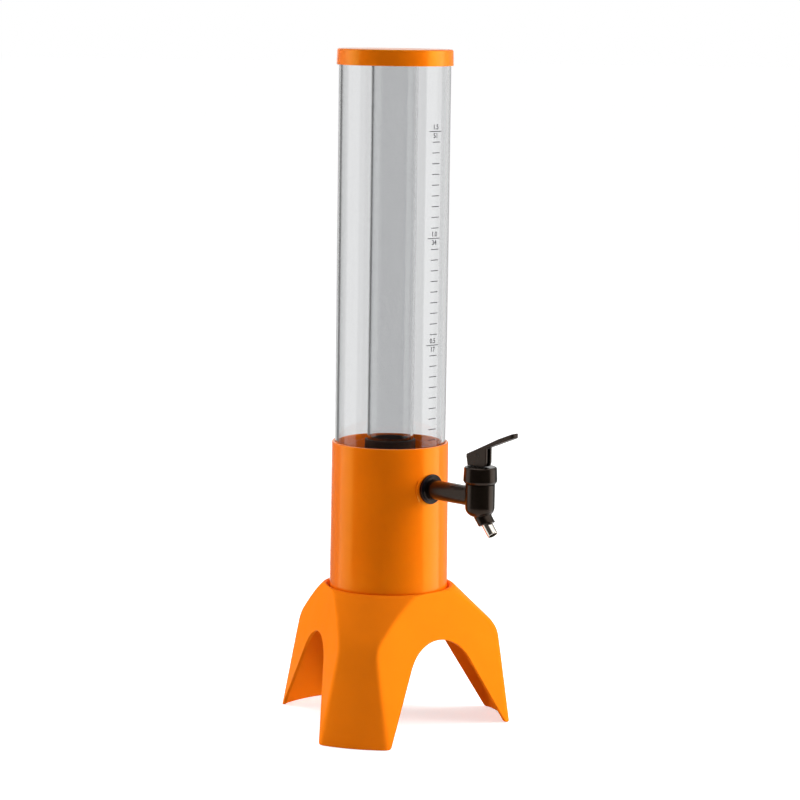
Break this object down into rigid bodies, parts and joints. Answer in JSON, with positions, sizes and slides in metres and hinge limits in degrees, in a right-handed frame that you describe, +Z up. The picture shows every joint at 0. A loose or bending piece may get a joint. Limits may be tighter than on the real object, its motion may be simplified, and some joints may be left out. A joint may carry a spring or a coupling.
{
  "type": "beer tower dispenser",
  "caption": "Table-top drink tower: clear tank tube with an inner ice tube and lid, in a moulded cup with a lever tap, on an arched moulded stand.",
  "frame": {"origin": "on the table, under the axis of the tank tube", "axes": "+Z up along the tank tube, the tap points to -Y, one leg points to +Y"},
  "size_m": [0.2188, 0.2747, 0.6119],
  "materials": {
    "orange_plastic": "glossy moulded orange plastic",
    "clear_plastic": "clear extruded acrylic",
    "black_plastic": "semi-gloss moulded black plastic",
    "grey_plastic": "plain moulded plastic",
    "black_rubber": "smooth rubber",
    "grey_rubber": "smooth silicone rubber",
    "spring_steel": "drawn stainless steel",
    "screw_steel": "plated steel",
    "chrome_metal": "chrome plated"
  },
  "bodies": {
    "tower": {"stand": "orange_plastic", "base_screws": "screw_steel", "column_cup": "orange_plastic", "tube_gasket": "grey_rubber", "tank_tube": "clear_plastic", "tap_body": "black_plastic", "dished_washer": "black_rubber", "shank_gasket": "grey_rubber", "lock_nut": "black_plastic", "tap_bonnet": "black_plastic", "bonnet_gasket": "grey_rubber", "stem_ring": "black_rubber", "nozzle_tip": "chrome_metal"},
    "lid_unit": {"lid": "orange_plastic", "ice_tube_grip_ring": "black_rubber"},
    "ice_tube_unit": {"ice_tube": "clear_plastic", "ice_tube_gasket": "grey_rubber", "ice_tube_stopper": "black_plastic"},
    "valve": {"valve_stem": "grey_plastic", "valve_seal": "black_rubber", "return_spring": "spring_steel"},
    "lever_unit": {"tap_lever": "black_plastic", "lever_pin": "spring_steel"}
  },
  "joints": [
    {"name": "lid_lift", "type": "slide", "parent": "tower", "child": "lid_unit", "axis": [0, 0, 1], "range_m": [0, 0.4]},
    {"name": "ice_tube_pull", "type": "slide", "parent": "lid_unit", "child": "ice_tube_unit", "axis": [0, 0, -1], "range_m": [0, 0.035]},
    {"name": "lever_tilt", "type": "hinge", "parent": "valve", "child": "lever_unit", "pos_m": [0, -0.11349, 0.2599], "axis": [1, 0, 0], "range_deg": [0, 25], "stiffness_Nm_per_rad": 0.0197, "springref_deg": -31.23},
    {"name": "stem_lift", "type": "slide", "parent": "tower", "child": "valve", "axis": [0, 0, 1], "range_m": [0, 0.0016], "deforming": ["return_spring"]}
  ],
  "couplings": [
    {"joint": "stem_lift", "follows": "lever_tilt", "m_per_rad": 0.00367}
  ]
}
